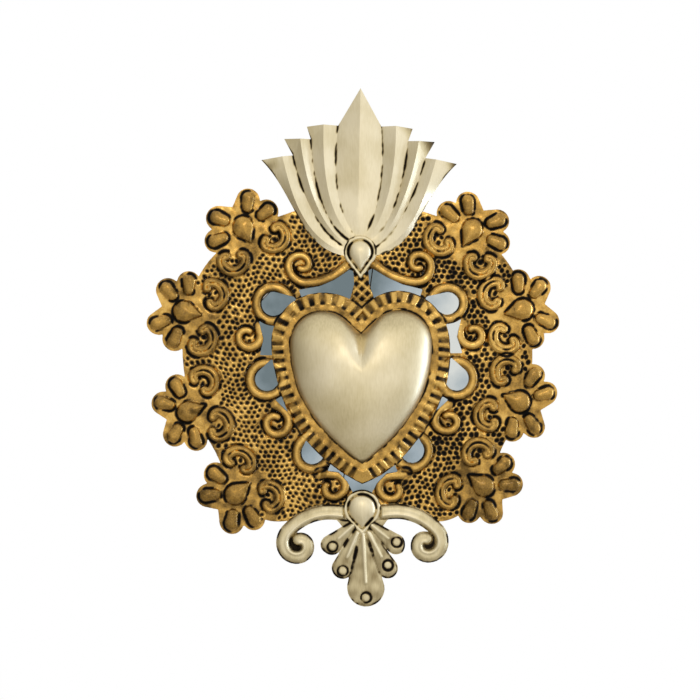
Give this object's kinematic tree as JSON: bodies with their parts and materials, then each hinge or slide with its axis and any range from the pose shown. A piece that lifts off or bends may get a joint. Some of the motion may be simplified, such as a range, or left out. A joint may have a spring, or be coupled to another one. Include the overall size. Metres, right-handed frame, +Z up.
{
  "type": "tin wall ornament",
  "caption": "Embossed tin wall ornament: a domed heart in a pierced flower frame over mirror panes, with a pleated flame above, a scrolled pendant below and a D-ring to hang it by.",
  "frame": {"origin": "middle of the ring of flowers, below the heart's notch, on the rear face of the back pan, which lies on the wall", "axes": "+Z up to the flame, +Y into the wall, +X to the right as seen from the front"},
  "size_m": [0.2233, 0.0213, 0.2808],
  "materials": {
    "gold_tin": "tinplate with gold lacquer, dark patina in the recesses",
    "silver_tin": "bright tinplate with a warm lacquer, satin",
    "mirror_glass": "silvered float glass",
    "card": "grey-brown packing card",
    "tinplate": "bare tinplate, dulled",
    "wire": "galvanised wire",
    "solder": "dull soft solder"
  },
  "bodies": {
    "ornament": {"frame_sheet": "gold_tin", "heart_dome": "silver_tin", "flame_fan": "silver_tin", "flame_boss": "silver_tin", "pendant_sheet": "silver_tin", "pendant_boss": "silver_tin", "mirror_left": "mirror_glass", "mirror_right": "mirror_glass", "backing_card": "card", "back_pan": "tinplate", "hanger_strap": "tinplate", "pan_solder": "solder", "flame_solder": "solder", "pendant_solder": "solder", "strap_solder": "solder"},
    "ring": {"hanger_ring": "wire"}
  },
  "joints": [
    {"name": "ring_swing", "type": "hinge", "parent": "ornament", "child": "ring", "pos_m": [0, -0.00312, 0.086], "axis": [1, 0, 0], "range_deg": [0, 180]}
  ]
}
